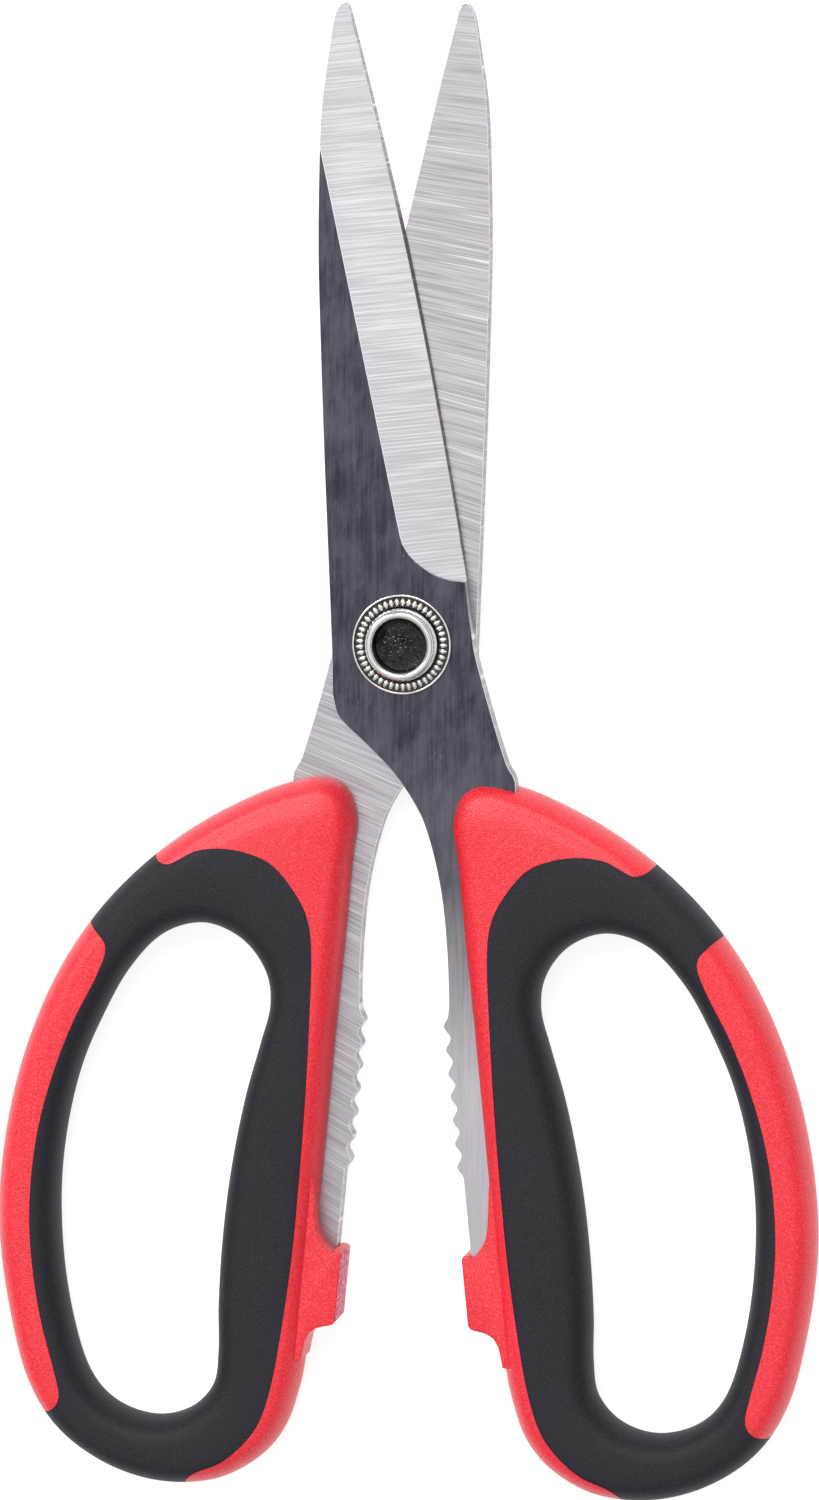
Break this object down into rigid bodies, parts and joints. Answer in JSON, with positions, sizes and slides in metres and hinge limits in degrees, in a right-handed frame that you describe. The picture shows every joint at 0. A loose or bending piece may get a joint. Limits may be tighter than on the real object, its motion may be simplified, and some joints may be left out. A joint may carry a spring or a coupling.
{
  "type": "multi-purpose shears",
  "caption": "Hand shears with mirrored steel blades on a hollow rivet, toothed gripping tangs, and two large finger loops in hard plastic with a soft overmoulded grip.",
  "frame": {"origin": "centre of the rivet head's flat rear face, on the pivot axis, in the plane that the shears lie on", "axes": "+Z along the pivot axis towards the front face, +Y towards the blade tips, +X towards the right-hand loop"},
  "size_m": [0.1172, 0.21, 0.011],
  "materials": {
    "blade_steel": "ground inner faces and bevels, blackened outer faces",
    "plated_rivet": "nickel plated, polished roll",
    "hard_plastic": "satin moulded, very fine grain",
    "soft_grip": "matte soft overmould"
  },
  "bodies": {
    "back_half": {"back_blade": "blade_steel", "left_handle_core": "hard_plastic", "left_handle_grip": "soft_grip", "pivot_rivet": "plated_rivet", "rosette_washer": "plated_rivet", "rear_spring_washer": "plated_rivet"},
    "front_half": {"front_blade": "blade_steel", "right_handle_core": "hard_plastic", "right_handle_grip": "soft_grip"}
  },
  "joints": [
    {"name": "pivot", "type": "hinge", "parent": "back_half", "child": "front_half", "pos_m": [0, 0, 0.0055], "axis": [0, 0, 1], "range_deg": [-11, 110]}
  ]
}
